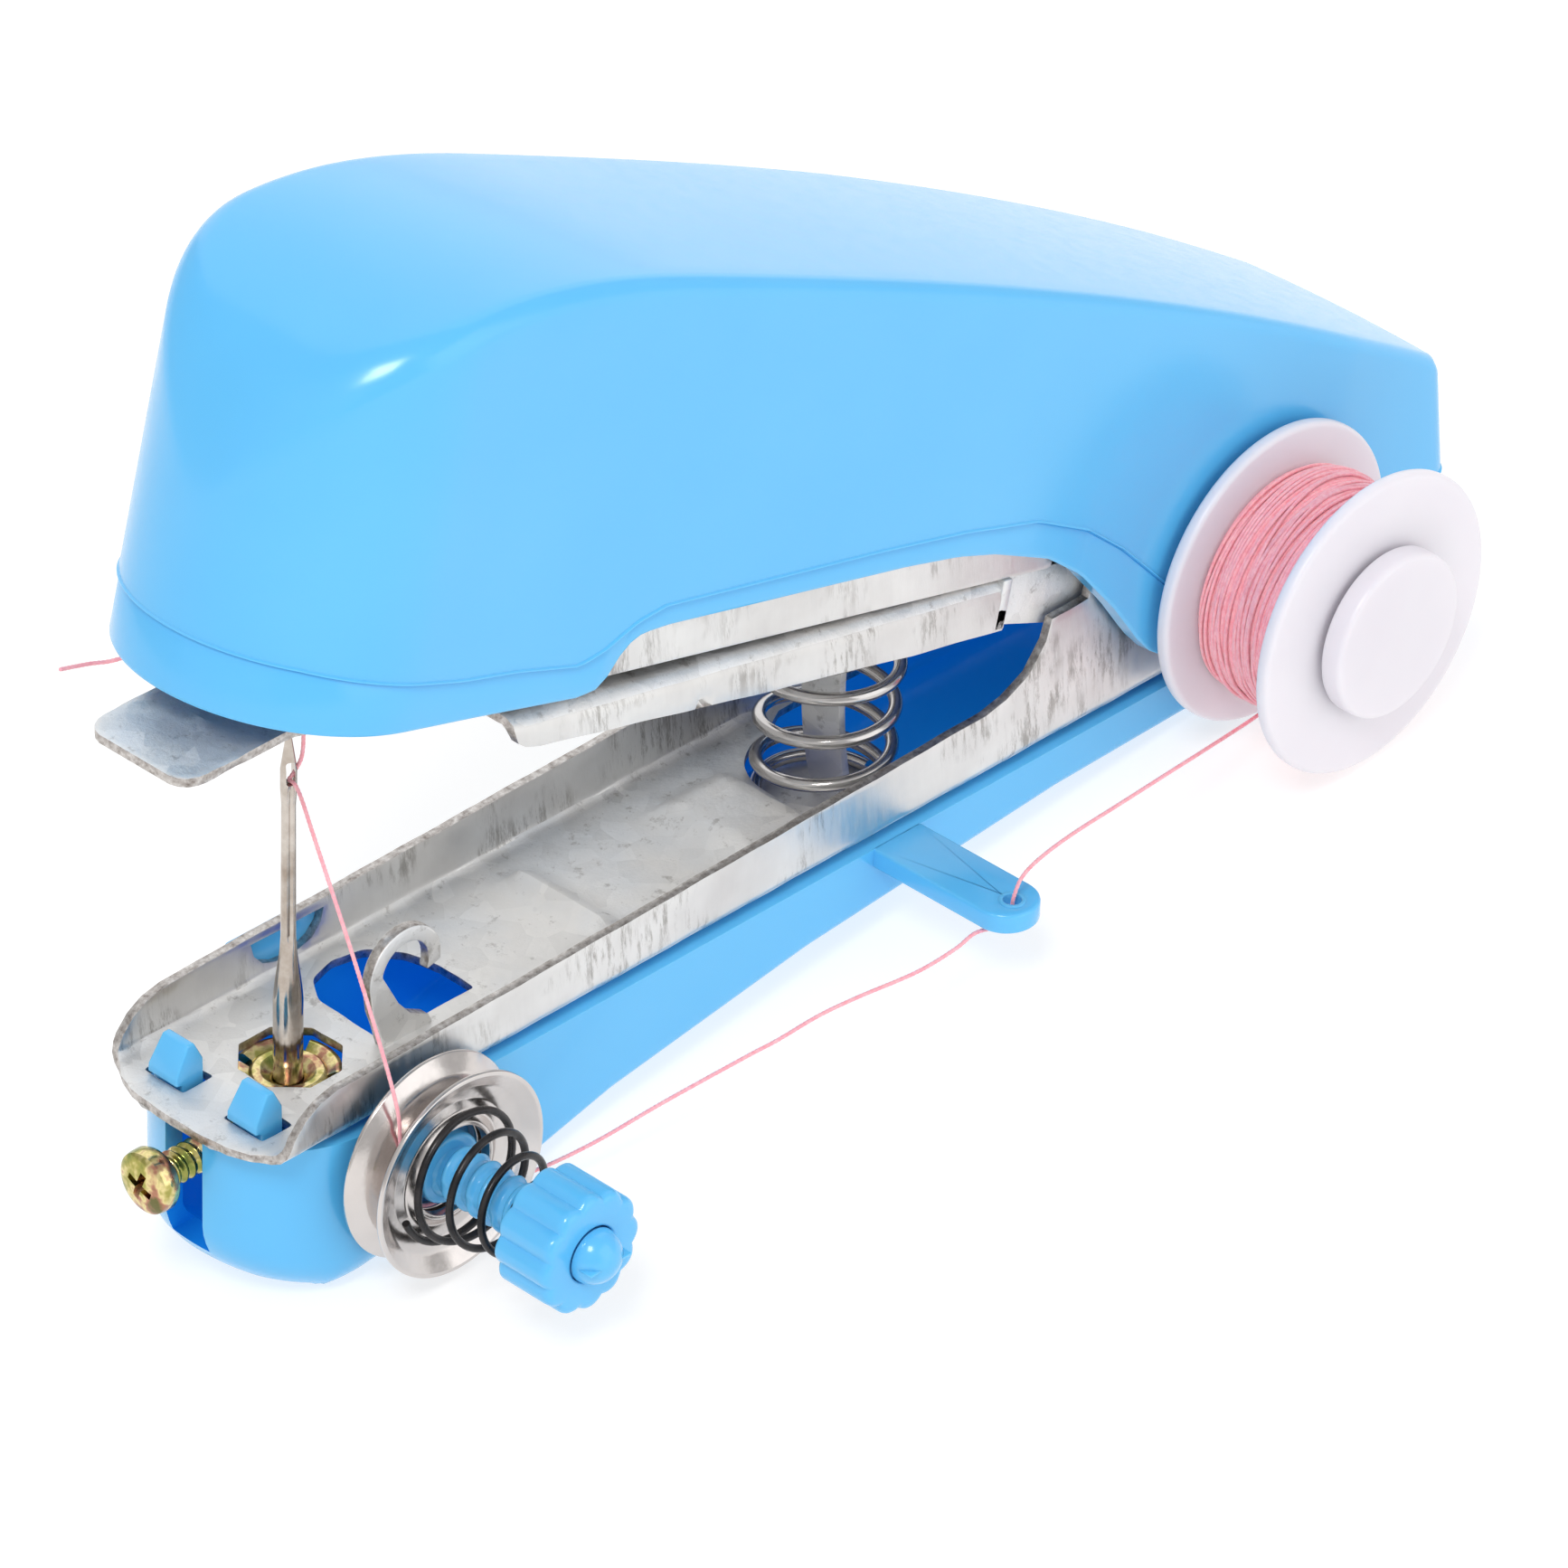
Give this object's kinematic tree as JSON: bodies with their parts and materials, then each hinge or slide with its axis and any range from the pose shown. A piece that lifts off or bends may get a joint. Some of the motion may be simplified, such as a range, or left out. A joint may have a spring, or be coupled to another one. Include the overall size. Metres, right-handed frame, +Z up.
{
  "type": "sewing machine",
  "caption": "Hand-held chain-stitch sewing machine squeezed like a stapler, with needle, sprung head, thread tension and side bobbin.",
  "frame": {"origin": "on the table plane, under the base's nose and on the machine's centre plane, below the needle", "axes": "+X towards the hinge end, +Z up from the table, -Y towards the bobbin and the tension knob"},
  "size_m": [0.1204, 0.04, 0.0717],
  "materials": {
    "blue_plastic": "glossy moulded plastic",
    "galvanised_sheet": "galvanised sheet",
    "polished_steel": "bright steel",
    "yellow_zinc": "iridescent yellow zinc",
    "black_steel": "black oxide",
    "white_plastic": "satin moulded plastic",
    "pink_thread": "spun sewing thread"
  },
  "bodies": {
    "base": {"base_shell": "blue_plastic", "lower_channel": "galvanised_sheet", "needle": "polished_steel", "needle_clamp": "yellow_zinc", "tension_disc_inner": "polished_steel", "drive_strip": "galvanised_sheet", "hinge_pin": "polished_steel", "main_spring": "polished_steel", "thread_supply": "pink_thread", "thread_run": "pink_thread", "thread_tail": "pink_thread"},
    "clamp_screw": {"clamp_screw": "yellow_zinc"},
    "outer_disc": {"tension_disc_outer": "polished_steel"},
    "spring_seat": {"tension_spring": "black_steel"},
    "knob": {"tension_knob": "blue_plastic"},
    "head": {"upper_frame": "galvanised_sheet", "top_cover": "blue_plastic", "spool_pin": "white_plastic"},
    "looper": {"looper_shaft": "polished_steel", "looper_hook": "polished_steel", "shaft_collar": "polished_steel"},
    "presser": {"presser_plate": "galvanised_sheet"},
    "bobbin": {"bobbin": "white_plastic", "thread_winding": "pink_thread"}
  },
  "joints": [
    {"name": "squeeze", "type": "hinge", "parent": "base", "child": "head", "pos_m": [0.08563, 0, 0.01216], "axis": [0, -1, 0], "range_deg": [0, 11.5], "stiffness_Nm_per_rad": 0.6, "springref_deg": -28.65, "deforming": ["main_spring", "thread_run", "thread_tail"]},
    {"name": "presser_pivot", "type": "hinge", "parent": "head", "child": "presser", "pos_m": [0.08563, 0, 0.01216], "axis": [0, -1, 0], "range_deg": [0, 2.2], "stiffness_Nm_per_rad": 0.3, "springref_deg": -22.92},
    {"name": "bobbin_spin", "type": "hinge", "parent": "head", "child": "bobbin", "pos_m": [0.08563, -0.016, 0.01216], "axis": [0, 1, 0], "continuous": true},
    {"name": "looper_turn", "type": "hinge", "parent": "head", "child": "looper", "pos_m": [0.04146, 0.0041, 0.03725], "axis": [-0.9432, 0, 0.3322], "range_deg": [-1, 150]},
    {"name": "disc_lift", "type": "slide", "parent": "base", "child": "outer_disc", "axis": [0, -1, 0], "range_m": [0, 0.0004], "stiffness_N_per_m": 400, "springref_m": -0.001, "deforming": ["tension_spring"]},
    {"name": "knob_travel", "type": "slide", "parent": "base", "child": "spring_seat", "axis": [0, 1, 0], "range_m": [-0.0008, 0.0024]},
    {"name": "knob_turn", "type": "hinge", "parent": "spring_seat", "child": "knob", "pos_m": [0.00427, -0.023, 0.00852], "axis": [0, 1, 0], "range_deg": [-362, 1082]},
    {"name": "clamp_turn", "type": "hinge", "parent": "base", "child": "clamp_screw", "pos_m": [-0.00701, 0, 0.01035], "axis": [0.9951, 0, -0.0993], "range_deg": [-10, 120]}
  ],
  "couplings": [
    {"joint": "looper_turn", "follows": "squeeze", "ratio": 13},
    {"joint": "knob_turn", "follows": "knob_travel", "rad_per_m": 7854}
  ]
}
